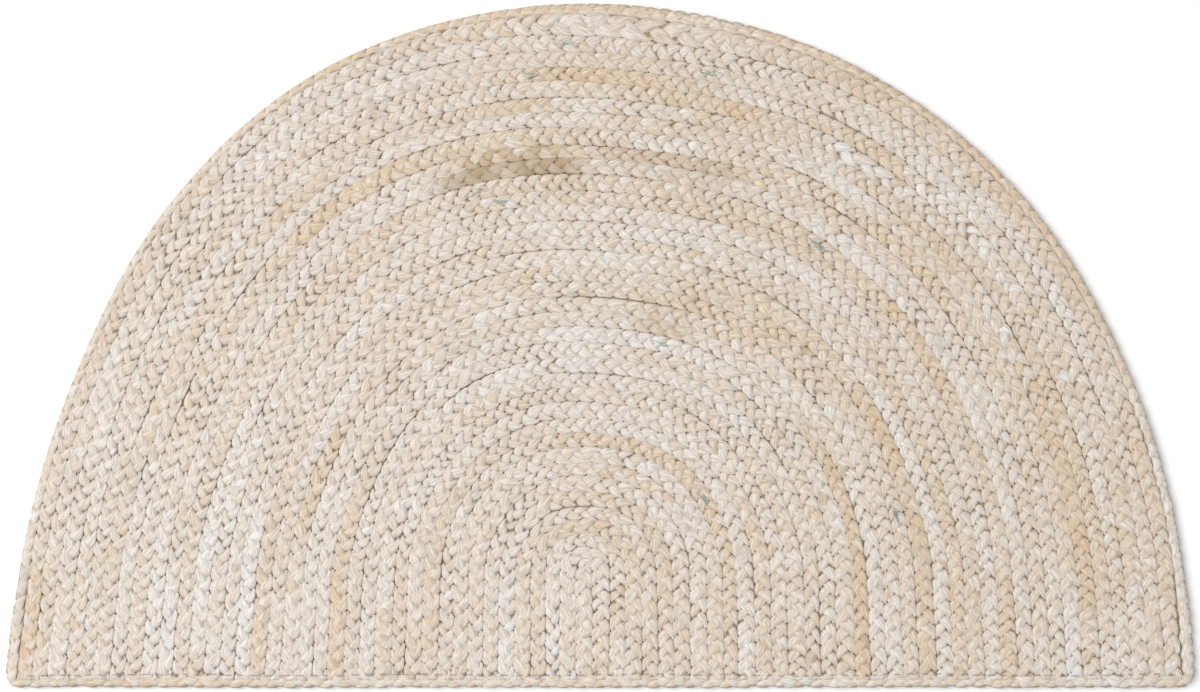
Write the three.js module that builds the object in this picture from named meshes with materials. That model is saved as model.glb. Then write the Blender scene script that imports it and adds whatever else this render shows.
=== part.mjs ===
// Half-moon rug of plaited jute, lying flat on a floor.
//
// A long three-strand plait is coiled round a short straight core, row beside row, and sewn edge to
// edge. The coil is cut straight across below its heart, which leaves U-shaped rows: an arch over
// the heart and two legs down to the cut. A second, narrower plait stands on its edge round the
// whole outline and binds it, the cut included.
//
// Two solids: coiled_field, with one raised rib for each row, and edging_plait, the binding.
//
// Frame: millimetres, +Z up. The origin is on the floor, under the middle of the rug's box. The
// straight edge runs along X on the -Y side, and the crown of the arc points along +Y.

import * as THREE from "three";

// Driving dimensions.
const rowCount = 36; // rows on each side of the core
const heartToStraightEdge = 93.2; // from the coil's heart down to the outside of the straight edge
const plaitHeight = 8.6; // a row's usual height at its crown
const grooveHeight = 5.2; // height of the valley between two rows
const edgingHeight = 9.4;
const straightEdgingWidth = 9.2; // the binding plait along the cut, seen from above
const sewnGap = 0.3; // between the field and the plait sewn round it

// The outline, seen from the coil's heart: how far the rug reaches at each angle from +X, and how
// wide the binding plait looks there from above.
const rim = [
  { angle: -20, reach: 483.0, edging: 11.4 },
  { angle: 0, reach: 453.2, edging: 8.5 },
  { angle: 20, reach: 436.6, edging: 7.0 },
  { angle: 40, reach: 433.0, edging: 6.5 },
  { angle: 60, reach: 429.4, edging: 7.0 },
  { angle: 80, reach: 424.9, edging: 9.5 },
  { angle: 100, reach: 423.4, edging: 6.5 },
  { angle: 120, reach: 422.5, edging: 6.0 },
  { angle: 140, reach: 414.5, edging: 6.0 },
  { angle: 160, reach: 410.2, edging: 6.0 },
  { angle: 180, reach: 425.5, edging: 7.5 },
  { angle: 200, reach: 459.0, edging: 10.0 },
];
const rimStep = rim[1].angle - rim[0].angle;

// Hand-plaited rows run thicker and thinner. Each wave adds a share of the usual width; it runs on
// with each radian of turn about the heart and with each row outwards.
const widthWaves = [
  { size: 0.06, withTurn: 0, withRow: 2.4, start: 1.1 },
  { size: 0.07, withTurn: 1.7, withRow: 2.1, start: 0 },
  { size: 0.04, withTurn: 4.3, withRow: 1.3, start: 0 },
];
const squeezeAtHeart = { size: 0.2, fadingRows: 5 }; // rows that bend tightly are thin over the heart
const swellAtCrown = { size: 0.42, angle: 86, spread: 17 }; // the last row is fat at the crown
const heightWave = { size: 0.25, withRow: 1.9, start: 0.6 }; // some rows are sewn a little proud
const straightEdgingWave = { size: 0.3, length: 47 }; // the binding along the cut isn't quite even

// How a rib is rounded: its shoulders lie this share of half a row's width from its middle.
const shoulderShare = 0.52;
const usualSegment = 30; // length of a facet along a row
const fewestArchSegments = 10;
const cornerSteps = 5; // facets of the binding plait round each bottom corner
const halvings = 30; // steps in which the angle at the cut is closed in on
const samePoint = 1e-4; // corners nearer than this are one

// The binding plait's section: share of its width outwards, and share of its height.
const edgingSection = [
  { out: 0.0, up: 0.14 },
  { out: 0.2, up: 0.0 },
  { out: 0.74, up: 0.0 },
  { out: 0.95, up: 0.2 },
  { out: 1.0, up: 0.52 },
  { out: 0.9, up: 0.82 },
  { out: 0.62, up: 1.0 },
  { out: 0.28, up: 0.97 },
  { out: 0.0, up: 0.74 },
];

const cutY = -(heartToStraightEdge - straightEdgingWidth - sewnGap);

// A column of the rim table at any angle, on a smooth curve through its rows.
function rimValue(angle, column) {
  const place = THREE.MathUtils.clamp((angle - rim[0].angle) / rimStep, 0, rim.length - 1.001);
  const row = Math.floor(place);
  const t = place - row;
  const at = (i) => rim[THREE.MathUtils.clamp(i, 0, rim.length - 1)][column];
  const [before, from, to, after] = [at(row - 1), at(row), at(row + 1), at(row + 2)];
  const bend = -before + 3 * from - 3 * to + after;
  const turn = 2 * before - 5 * from + 4 * to - after;
  return from + 0.5 * t * (to - before + t * (turn + t * bend));
}

// How far the field reaches from the heart, inside the binding plait.
function fieldReach(angle) {
  return rimValue(angle, "reach") - rimValue(angle, "edging") - sewnGap;
}

// The angle at which the field's rim comes down to the cut, between two angles that bracket it.
function angleAtCut(above, below) {
  for (let step = 0; step < halvings; step++) {
    const middle = (above + below) / 2;
    if (fieldReach(middle) * Math.sin(THREE.MathUtils.degToRad(middle)) > cutY) above = middle;
    else below = middle;
  }
  return (above + below) / 2;
}

const rightCutAngle = angleAtCut(0, -20);
const leftCutAngle = angleAtCut(180, 200);

// A row's width beside the usual one.
function rowWidth(row, angle) {
  const turn = THREE.MathUtils.degToRad(angle);
  let width = 1;
  for (const { size, withTurn, withRow, start } of widthWaves) {
    width += size * Math.sin(withTurn * turn + withRow * row + start);
  }
  const fading = Math.exp(-row / squeezeAtHeart.fadingRows);
  width -= squeezeAtHeart.size * fading * Math.max(0, Math.sin(turn)) ** 2;
  if (row === rowCount) {
    const away = (angle - swellAtCrown.angle) / swellAtCrown.spread;
    width += swellAtCrown.size * Math.exp(-(away ** 2));
  }
  return width;
}

// Where a line lies between the heart, 0, and the field's rim, 1. Line 0.5 is the valley round the
// core, line 1.5 the valley outside the first row, and so on.
function lineShare(line, angle) {
  let inside = 0;
  let all = 0;
  for (let row = 0; row <= rowCount; row++) {
    const width = rowWidth(row, angle) * (row === 0 ? 0.5 : 1);
    const start = row === 0 ? 0 : row - 0.5;
    const filled = THREE.MathUtils.clamp((line - start) / (row === 0 ? 0.5 : 1), 0, 1);
    inside += width * filled;
    all += width;
  }
  return inside / all;
}

// One U-shaped line of the field, from the cut on the right, over the arch, to the cut on the left.
// Each point has its place along the line: 0 to 1 over the arch, -1 and 2 at the cut.
function fieldLine(line, height) {
  const archLength = line / (rowCount + 0.5) * fieldReach(90) * Math.PI;
  const steps = Math.max(fewestArchSegments, Math.round(archLength / usualSegment));
  const points = [];
  for (let step = 0; step <= steps; step++) {
    const place = step / steps;
    const angle = THREE.MathUtils.lerp(rightCutAngle, leftCutAngle, place);
    const reach = lineShare(line, angle) * fieldReach(angle);
    const turn = THREE.MathUtils.degToRad(angle);
    points.push({ place, at: new THREE.Vector3(reach * Math.cos(turn), reach * Math.sin(turn), height) });
  }
  const first = points[0].at;
  const last = points[steps].at;
  if (line < rowCount + 0.5) {
    points.unshift({ place: -1, at: new THREE.Vector3(first.x, cutY, height) });
    points.push({ place: 2, at: new THREE.Vector3(last.x, cutY, height) });
  } else {
    first.y = cutY;
    last.y = cutY;
  }
  return points;
}

// The line down the middle of the core, up to the heart and back.
function coreLine(height) {
  const foot = new THREE.Vector3(0, cutY, height);
  const heart = new THREE.Vector3(0, 0, height);
  return [-1, 0, 1, 2].map((place, i) => ({ place, at: i === 1 || i === 2 ? heart : foot }));
}

// A triangle, left out where two of its corners are one point.
function addTriangle(corners, a, b, c) {
  const apart = (p, q) => p.distanceTo(q) > samePoint;
  if (apart(a, b) && apart(b, c) && apart(c, a)) corners.push(a, b, c);
}

// The strip of triangles between two lines of the field, facing up.
function addStrip(corners, inner, outer) {
  let i = 0;
  let j = 0;
  while (i < inner.length - 1 || j < outer.length - 1) {
    const nextInner = i < inner.length - 1 ? inner[i + 1].place : Infinity;
    const nextOuter = j < outer.length - 1 ? outer[j + 1].place : Infinity;
    if (nextOuter <= nextInner) {
      addTriangle(corners, inner[i].at, outer[j].at, outer[j + 1].at);
      j++;
    } else {
      addTriangle(corners, inner[i].at, outer[j].at, inner[i + 1].at);
      i++;
    }
  }
}

// A flat face from its outline; flatten gives a corner's two coordinates in the face's plane.
function addFace(corners, outline, flatten, flipped) {
  const faces = THREE.ShapeUtils.triangulateShape(outline.map(flatten), []);
  for (const [a, b, c] of faces) {
    if (flipped) addTriangle(corners, outline[a], outline[c], outline[b]);
    else addTriangle(corners, outline[a], outline[b], outline[c]);
  }
}

function meshOf(name, corners, material) {
  const geometry = new THREE.BufferGeometry().setFromPoints(corners);
  geometry.computeVertexNormals();
  const mesh = new THREE.Mesh(geometry, material);
  mesh.name = name;
  return mesh;
}

// A row's height at its crown.
function crownHeight(row) {
  return plaitHeight + heightWave.size * Math.sin(heightWave.withRow * row + heightWave.start);
}

// The coiled field: flat underneath, with a rib over each row of plait.
function coiledField() {
  const lines = [coreLine(crownHeight(0)), fieldLine(0.5 * shoulderShare, crownHeight(0))];
  for (let row = 1; row <= rowCount; row++) {
    lines.push(fieldLine(row - 0.5, grooveHeight));
    lines.push(fieldLine(row - 0.5 * shoulderShare, crownHeight(row)));
    lines.push(fieldLine(row + 0.5 * shoulderShare, crownHeight(row)));
  }
  const edge = fieldLine(rowCount + 0.5, grooveHeight);
  lines.push(edge);

  const corners = [];
  for (let i = 1; i < lines.length; i++) addStrip(corners, lines[i - 1], lines[i]);

  const onFloor = (point) => new THREE.Vector3(point.x, point.y, 0);
  for (let i = 1; i < edge.length; i++) {
    const [a, b] = [edge[i - 1].at, edge[i].at];
    addTriangle(corners, onFloor(a), onFloor(b), b);
    addTriangle(corners, onFloor(a), b, a);
  }

  const rightEnds = lines.map((line) => line[0].at);
  const leftEnds = lines.slice(1).map((line) => line[line.length - 1].at);
  const cutOutline = [
    onFloor(leftEnds[leftEnds.length - 1]),
    onFloor(rightEnds[rightEnds.length - 1]),
    ...rightEnds.reverse(),
    ...leftEnds,
  ];
  addFace(corners, cutOutline, (p) => new THREE.Vector2(p.x, p.z), false);

  const footprint = edge.map(({ at }) => onFloor(at));
  addFace(corners, footprint, (p) => new THREE.Vector2(p.x, p.y), true);

  const jute = new THREE.MeshStandardMaterial({ color: 0xd8cbb8, roughness: 0.9, metalness: 0 });
  return meshOf("coiled_field", corners, jute);
}

// The places at which the binding plait's section is drawn, once round the field: the point on its
// inner side, the way out from the field, and its width there.
function edgingStations() {
  const edge = fieldLine(rowCount + 0.5, 0);
  const points = edge.map(({ at }) => new THREE.Vector2(at.x, at.y));
  const stations = [];
  const outOf = (from, to) => new THREE.Vector2(to.y - from.y, from.x - to.x).normalize();
  const widthAt = ({ place }) =>
    rimValue(THREE.MathUtils.lerp(rightCutAngle, leftCutAngle, place), "edging");

  points.forEach((point, i) => {
    const before = outOf(points[Math.max(i - 1, 0)], points[Math.max(i, 1)]);
    const after = outOf(points[Math.min(i, points.length - 2)], points[Math.min(i + 1, points.length - 1)]);
    const out = before.clone().add(after).normalize();
    if (i > 0 && i < points.length - 1) {
      const inner = point.clone().addScaledVector(out, sewnGap / out.dot(after));
      stations.push({ inner, out, width: widthAt(edge[i]) });
    }
  });

  const down = new THREE.Vector2(0, -1);
  const corner = (point, sideways, from, to, widthFrom, widthTo) => {
    const mitre = sideways.clone().add(down).multiplyScalar(sewnGap / (1 + sideways.dot(down)));
    const inner = point.clone().add(mitre);
    const bend = THREE.MathUtils.euclideanModulo(to.angle() - from.angle(), 2 * Math.PI);
    for (let step = 0; step <= cornerSteps; step++) {
      const share = step / cornerSteps;
      const turn = from.angle() + share * bend;
      const out = new THREE.Vector2(Math.cos(turn), Math.sin(turn));
      stations.push({ inner, out, width: THREE.MathUtils.lerp(widthFrom, widthTo, share) });
    }
  };

  const count = points.length;
  const leftWay = outOf(points[count - 2], points[count - 1]);
  const rightWay = outOf(points[0], points[1]);
  corner(points[count - 1], leftWay, leftWay, down, widthAt(edge[count - 1]), straightEdgingWidth);
  const along = Math.round((points[0].x - points[count - 1].x) / (2 * usualSegment));
  for (let step = 1; step < along; step++) {
    const x = THREE.MathUtils.lerp(points[count - 1].x, points[0].x, step / along);
    const wave = straightEdgingWave.size * Math.sin(x / straightEdgingWave.length);
    const width = straightEdgingWidth + wave;
    stations.push({ inner: new THREE.Vector2(x, cutY - sewnGap), out: down, width });
  }
  corner(points[0], rightWay, down, rightWay, straightEdgingWidth, widthAt(edge[0]));
  return stations;
}

// The binding plait: a closed ring round the field, resting on the floor.
function edgingPlait() {
  const rings = edgingStations().map(({ inner, out, width }) =>
    edgingSection.map((corner) => {
      const reach = corner.out * width;
      const [x, y] = [inner.x + out.x * reach, inner.y + out.y * reach];
      return new THREE.Vector3(x, y, corner.up * edgingHeight);
    })
  );
  const corners = [];
  rings.forEach((ring, i) => {
    const next = rings[(i + 1) % rings.length];
    ring.forEach((point, k) => {
      const l = (k + 1) % ring.length;
      addTriangle(corners, point, next[k], next[l]);
      addTriangle(corners, point, next[l], ring[l]);
    });
  });
  const paleGold = new THREE.MeshStandardMaterial({ color: 0xdcc7a4, roughness: 0.88, metalness: 0 });
  return meshOf("edging_plait", corners, paleGold);
}

const rug = new THREE.Group();
rug.name = "half_moon_rug";
rug.add(coiledField(), edgingPlait());

// The rug is worked out from the coil's heart, then moved so that its box is centred on the origin.
const middle = new THREE.Box3().setFromObject(rug).getCenter(new THREE.Vector3());
rug.position.set(-middle.x, -middle.y, 0);

export default rug;
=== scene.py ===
# %% [markdown]
# # A half-moon rug of plaited jute
#
# The real rug is one long plait of three jute strands. It is coiled round a short straight core, row
# beside row, sewn edge to edge, and cut straight across just below the coil's heart. A second,
# narrower plait stands on its edge all the way round and binds the cut ends.
# This lesson makes every strand of both plaits as a real tube that goes over and under its
# neighbours. A flat sheet with a picture of a plait would be lighter, but it has no crevices, and the
# crevices are what make a jute rug look like one.

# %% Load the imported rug
import math

import bmesh
import bpy
import numpy as np
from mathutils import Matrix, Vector


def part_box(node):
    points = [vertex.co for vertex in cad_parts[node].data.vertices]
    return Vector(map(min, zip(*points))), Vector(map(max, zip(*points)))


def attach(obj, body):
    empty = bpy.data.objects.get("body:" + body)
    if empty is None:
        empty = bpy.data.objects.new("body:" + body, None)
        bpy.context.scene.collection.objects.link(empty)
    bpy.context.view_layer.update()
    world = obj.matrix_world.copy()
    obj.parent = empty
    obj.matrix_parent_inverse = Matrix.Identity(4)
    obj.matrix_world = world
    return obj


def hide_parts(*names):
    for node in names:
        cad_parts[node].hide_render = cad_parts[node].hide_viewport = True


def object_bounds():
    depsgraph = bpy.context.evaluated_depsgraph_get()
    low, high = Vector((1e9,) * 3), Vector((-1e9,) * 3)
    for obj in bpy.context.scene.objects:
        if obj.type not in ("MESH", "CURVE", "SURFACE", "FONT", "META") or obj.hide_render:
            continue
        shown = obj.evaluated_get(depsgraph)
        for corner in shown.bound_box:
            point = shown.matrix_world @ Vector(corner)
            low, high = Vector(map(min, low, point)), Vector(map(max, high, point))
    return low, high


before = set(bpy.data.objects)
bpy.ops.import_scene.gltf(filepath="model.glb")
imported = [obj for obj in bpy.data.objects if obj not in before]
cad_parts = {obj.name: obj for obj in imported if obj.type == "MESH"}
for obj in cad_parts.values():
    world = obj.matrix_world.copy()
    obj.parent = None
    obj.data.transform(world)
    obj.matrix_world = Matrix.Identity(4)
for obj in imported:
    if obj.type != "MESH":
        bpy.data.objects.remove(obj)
cad_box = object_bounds()
print("the packed rug reaches from", cad_box[0][:], "to", cad_box[1][:])

# %% [markdown]
# ## The camera, the floor and the light
#
# The rug is seen from straight above. A camera far away with a long lens keeps both ends of the rug
# in the same scale. The floor is white, and the light is a wide soft lamp high on the left with a lot
# of pale light from all round it, which leaves only faint shadows outside the rug but still draws
# the round of each strand.

# %% Camera, floor and light
MM = 0.001
PICTURE_WIDTH = 905.3 * MM  # what the picture takes in, measured on the rug
LENS, SENSOR = 85.0, 36.0
RUG_TOP = cad_box[1].z
CAMERA_ASIDE = -0.4 * MM  # the picture's middle lies this far from the rug's, along X
FLOOR_HALF_SIZE = 4  # metres
FLOOR_BELOW = 0.1 * MM  # so that the floor and the rug's underside share no face


def make_camera():
    lens = bpy.data.cameras.new("overhead_camera")
    lens.lens, lens.sensor_width = LENS, SENSOR
    lens.clip_start, lens.clip_end = 0.1, 20
    camera = bpy.data.objects.new("overhead_camera", lens)
    camera.location = (CAMERA_ASIDE, 0, RUG_TOP + PICTURE_WIDTH * LENS / SENSOR)
    bpy.context.scene.collection.objects.link(camera)
    bpy.context.scene.camera = camera


def make_floor():
    sheet = bmesh.new()
    bmesh.ops.create_grid(sheet, x_segments=1, y_segments=1, size=FLOOR_HALF_SIZE)
    bmesh.ops.translate(sheet, verts=sheet.verts, vec=(0, 0, -FLOOR_BELOW))
    mesh = bpy.data.meshes.new("floor")
    sheet.to_mesh(mesh)
    sheet.free()
    floor = bpy.data.objects.new("floor", mesh)
    bpy.context.scene.collection.objects.link(floor)
    white = bpy.data.materials.new("white_floor")
    white.use_nodes = True
    shader = white.node_tree.nodes["Principled BSDF"]
    shader.inputs["Base Color"].default_value = (0.9, 0.9, 0.9, 1)
    shader.inputs["Roughness"].default_value = 0.9
    mesh.materials.append(white)


LAMP_WIDTH, LAMP_POWER = 3.8, 203.0
LAMP_PLACE = Vector((-3.0, 0.8, 4.4))  # metres from the rug's middle


def make_light():
    lamp = bpy.data.lights.new("soft_lamp", "AREA")
    lamp.shape, lamp.size, lamp.energy = "DISK", LAMP_WIDTH, LAMP_POWER
    lamp.color = (1.0, 0.985, 0.96)
    light = bpy.data.objects.new("soft_lamp", lamp)
    light.location = LAMP_PLACE
    light.rotation_euler = (-LAMP_PLACE).to_track_quat("-Z", "Y").to_euler()
    bpy.context.scene.collection.objects.link(light)
    world = bpy.data.worlds.new("pale_room")
    world.use_nodes = True
    sky = world.node_tree.nodes["Background"]
    sky.inputs["Color"].default_value = (0.97, 0.985, 1.0, 1)
    sky.inputs["Strength"].default_value = 0.74
    bpy.context.scene.world = world
    bpy.context.scene.view_settings.view_transform = "Standard"


make_camera()
make_floor()
make_light()
print("the camera hangs", round(bpy.context.scene.camera.location.z, 3), "m above the floor")

# %% [markdown]
# ## Where the rows lie
#
# A maker sets out a coil from its heart: each row lies one plait's width outside the last. Here the
# rug's outline is a short table of distances from the heart, and the rows share out the space
# inside it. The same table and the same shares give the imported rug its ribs, so each plait lies on
# its own rib. Measuring each row by hand would give the same thing with a hundred times the numbers.
# From here on sizes are in millimetres and angles in degrees, unless a comment says otherwise.

# %% The outline and the shares of the rows
ROWS = 36  # on each side of the core
HEART_TO_STRAIGHT_EDGE = 93.2
STRAIGHT_EDGING_WIDTH = 9.2
SEWN_GAP = 0.3  # between the rows and the binding
PLAIT_HEIGHT = 8.6
CUT = -(HEART_TO_STRAIGHT_EDGE - STRAIGHT_EDGING_WIDTH - SEWN_GAP)  # y of the cut, from the heart
SQUEEZED, SQUEEZED_ROWS = 0.2, 5  # the innermost rows are squeezed together over the heart
SWELL, SWELL_ANGLE, SWELL_REACH = 0.42, 86, 17  # the last row is broad near the crown
RIM = [
    {"angle": -20, "reach": 483.0, "edging": 11.4},
    {"angle": 0, "reach": 453.2, "edging": 8.5},
    {"angle": 20, "reach": 436.6, "edging": 7.0},
    {"angle": 40, "reach": 433.0, "edging": 6.5},
    {"angle": 60, "reach": 429.4, "edging": 7.0},
    {"angle": 80, "reach": 424.9, "edging": 9.5},
    {"angle": 100, "reach": 423.4, "edging": 6.5},
    {"angle": 120, "reach": 422.5, "edging": 6.0},
    {"angle": 140, "reach": 414.5, "edging": 6.0},
    {"angle": 160, "reach": 410.2, "edging": 6.0},
    {"angle": 180, "reach": 425.5, "edging": 7.5},
    {"angle": 200, "reach": 459.0, "edging": 10.0},
]
RIM_STEP = RIM[1]["angle"] - RIM[0]["angle"]


def rim_value(angle, column):
    """A column of the table at any angles, on a smooth curve through its rows."""
    values = np.array([station[column] for station in RIM])
    place = np.clip((angle - RIM[0]["angle"]) / RIM_STEP, 0, len(RIM) - 1.001)
    first = np.floor(place).astype(int)
    t = place - first
    around = [values[np.clip(first + i, 0, len(RIM) - 1)] for i in (-1, 0, 1, 2)]
    before, start, end, after = around
    bend = -before + 3 * start - 3 * end + after
    turn = 2 * before - 5 * start + 4 * end - after
    return start + 0.5 * t * (end - before + t * (turn + t * bend))


def field_reach(angle):
    return rim_value(angle, "reach") - rim_value(angle, "edging") - SEWN_GAP


def angle_at_cut(above, below):
    """The angle at which the rows' rim comes down to the cut, between two that bracket it."""
    for _ in range(30):
        middle = (above + below) / 2
        if field_reach(middle) * math.sin(math.radians(middle)) > CUT:
            above = middle
        else:
            below = middle
    return (above + below) / 2


RIGHT_CUT, LEFT_CUT = angle_at_cut(0, -20), angle_at_cut(180, 200)


def row_width(row, angle):
    """A row's width beside the usual one: hand-plaited rows run thicker and thinner."""
    turn = np.radians(angle)
    wander = 0.07 * np.sin(1.7 * turn + 2.1 * row) + 0.04 * np.sin(4.3 * turn + 1.3 * row)
    squeeze = SQUEEZED * math.exp(-row / SQUEEZED_ROWS) * np.maximum(0, np.sin(turn)) ** 2
    swell = SWELL * np.exp(-(((angle - SWELL_ANGLE) / SWELL_REACH) ** 2)) if row == ROWS else 0
    return 1 + 0.06 * math.sin(2.4 * row + 1.1) + wander - squeeze + swell


def line_shares(angle):
    """Shares of the way from heart to rim at which the lines between rows lie, for each angle."""
    widths = np.array([row_width(row, angle) * (0.5 if row == 0 else 1) for row in range(ROWS + 1)])
    lines = np.cumsum(widths, axis=0)
    return lines / lines[-1]


field_low, field_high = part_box("coiled_field")
RIM_X = [field_reach(a) * math.cos(math.radians(a)) for a in (LEFT_CUT, RIGHT_CUT)]
HEART = np.array([field_high.x / MM - RIM_X[1], field_low.y / MM - CUT])
print("the heart lies at", HEART.round(1), "mm, and the cut meets the rim at", round(RIGHT_CUT, 1))

# %% [markdown]
# ## A row's route
#
# Each row is a U: a leg up from the cut, an arch over the heart, and a leg down again. A plait
# doesn't turn in a sharp kink, so the points are spread evenly and then smoothed along the row.

# %% Routes of the rows
ROUTE_STEP = 1.0
KNOB = 7.0  # what the core's rolled-up end takes of its length
CORE_TAPER, CORE_BLUNTNESS = 8, 3  # the core narrows over this much of its end, to a blunt tip
TUCKED_IN = 3.0  # how far the rows' ends reach under the binding
ROUNDING, ROUNDING_SHARE = 14, 0.3  # a bend is smoothed so far, or by a share of a small row's radius


def spread_evenly(points, step):
    """The same route with a point every step, and how far along it each point lies."""
    steps = np.linalg.norm(np.diff(points[:, :2], axis=0), axis=1)
    along = np.concatenate([[0], np.cumsum(steps)])
    count = max(8, int(along[-1] / step))
    places = np.linspace(0, along[-1], count + 1)
    columns = [np.interp(places, along, points[:, i]) for i in range(points.shape[1])]
    return np.column_stack(columns), places


def smoothed(values, reach):
    """A route's columns averaged over reach points each way, with both ends held."""
    reach = int(reach)
    if reach < 1:
        return values
    head = 2 * values[0] - values[reach:0:-1]
    tail = 2 * values[-1] - values[-2 : -reach - 2 : -1]
    longer = np.concatenate([head, values, tail])
    bell = np.hanning(2 * reach + 3)[1:-1]
    return np.column_stack([np.convolve(column, bell / bell.sum(), "valid") for column in longer.T])


def row_route(row):
    """Points down the middle of a row, x, y and the row's width, from its right foot to its left."""
    angles = np.linspace(0, 180, 181)
    shares = line_shares(angles)
    inner, outer = shares[row - 1], shares[row]
    reach = field_reach(angles)
    radius, width = (inner + outer) / 2 * reach, (outer - inner) * reach
    turn = np.radians(angles)
    arch = np.column_stack([radius * np.cos(turn), radius * np.sin(turn), width])
    legs = []
    for end, cut_angle, rim_x in ((0, RIGHT_CUT, RIM_X[1]), (-1, LEFT_CUT, RIM_X[0])):
        lines = line_shares(np.array([cut_angle]))[:, 0]
        foot = (lines[row - 1] + lines[row]) / 2 * rim_x
        foot_width = (lines[row] - lines[row - 1]) * abs(rim_x)
        legs.append(np.array([[foot, CUT - TUCKED_IN, foot_width]]))
    points, _ = spread_evenly(np.concatenate([legs[0], arch, legs[1]]), ROUTE_STEP)
    at_crown = radius[len(radius) // 2]
    return smoothed(points, min(ROUNDING, ROUNDING_SHARE * at_crown) / ROUTE_STEP)


def core_route():
    """The core runs from the cut up to just below the heart, where its end is rolled up."""
    lines = line_shares(np.array([90.0]))[:, 0]
    tip = lines[0] * field_reach(90.0) - KNOB
    half = line_shares(np.array([0.0]))[0, 0] * field_reach(0.0)
    y = np.linspace(CUT - TUCKED_IN, tip, 90)
    roundness = np.sqrt(np.clip((tip + CORE_BLUNTNESS - y) / CORE_TAPER, 0.05, 1))
    return np.column_stack([np.zeros_like(y), y, 2 * half * roundness])


routes = [core_route()] + [row_route(row) for row in range(1, ROWS + 1)]
lengths = [np.linalg.norm(np.diff(route[:, :2], axis=0), axis=1).sum() for route in routes]
print("the coil holds", round(sum(lengths) / 1000, 2), "m of plait in", len(routes), "rows")

# %% [markdown]
# ## How three strands plait
#
# In a flat plait each strand swings from side to side and dips under and over twice in each swing,
# and the three strands follow one another a third of a turn apart. So two waves draw it. The one
# across the plait is a sine with two faster ones mixed in, which make the strands cross in straight
# lines and turn sharply at the sides. The other, at twice the speed, takes them up and down. A
# strand is soft and flat, and it turns over at each side, so its section leans with the swing. The
# hand that plaits is uneven, so each swing also gets its own thickness and place from seeded random
# numbers.

# %% The plait's shape
RINGS = 12  # sections along one swing there and back
SIDES = 10  # corners of a strand's section
USUAL_WIDTH = 12.0  # the row width that the sizes below are for
SWING = 5.4  # how far a strand's middle goes to each side
STRAIGHTER, SHARPER = 0.105, 0.03  # shares of two faster waves: a straight crossing, a sharp turn
DIP = 1.5  # how far it goes up and down
PLATEAU = 1.3  # how long it stays up before it dives
EARLY = math.radians(4)  # how much sooner it rises than it swings
HALF_WIDTH, HALF_THICKNESS = 4.4, 3.25
FATTEST = math.radians(142)  # the phase at which a strand is fattest, on its way to the middle
FATTER, THICKER = 0.29, 0.27  # by what share it is wider and thicker there
SQUARENESS = 2.8  # 2 is an ellipse, and more has fuller corners
LINGER = 0.3  # how much slower a strand crosses above than below
PERIOD = 33.6  # length of one swing there and back
MOST_UNEVEN = 1.8  # no swing is further from the usual thickness than so many times the usual error
UNEVEN_SWING, UNEVEN_LIFT = 0.1, 0.3  # a share of the swing, and millimetres


def wander(random, place, spread=1.0, closed=False):
    """A smooth random line over rising places, with a new value at each whole number."""
    place = place - place[0]
    knots = random.normal(0, spread, int(place[-1]) + 3)
    if closed:
        knots[round(place[-1])] = knots[0]
    first = place.astype(int)
    t = place - first
    t = t * t * (3 - 2 * t)
    return knots[first] * (1 - t) + knots[first + 1] * t


def strand_section(phase, width, thickness, alpha):
    """Distance from a strand's middle to its skin, in the direction alpha of its section.

    The section turns over, half a turn in all, between one side of the plait and the other.
    """
    turn = np.cos(phase)
    lean = math.pi / 2 * (1 + turn * (1.5 - 0.5 * turn**2))
    flat = np.abs(np.cos(alpha + lean)) / width
    upright = np.abs(np.sin(alpha + lean)) / thickness
    return (flat**SQUARENESS + upright**SQUARENESS) ** (-1 / SQUARENESS)


def ring_places(route, closed):
    """Where a plait's rings lie along its route, an even part of a swing apart."""
    steps = np.linalg.norm(np.diff(route[:, :2], axis=0), axis=1)
    along = np.concatenate([[0], np.cumsum(steps)])
    pace = 1 / route[:, 3]
    turns = np.concatenate([[0], np.cumsum(steps * (pace[1:] + pace[:-1]) / 2)])
    rings = round(turns[-1]) * RINGS if closed else max(RINGS, round(turns[-1] * RINGS))
    return along, np.interp(np.linspace(0, turns[-1], rings + 1), turns, along)


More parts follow.
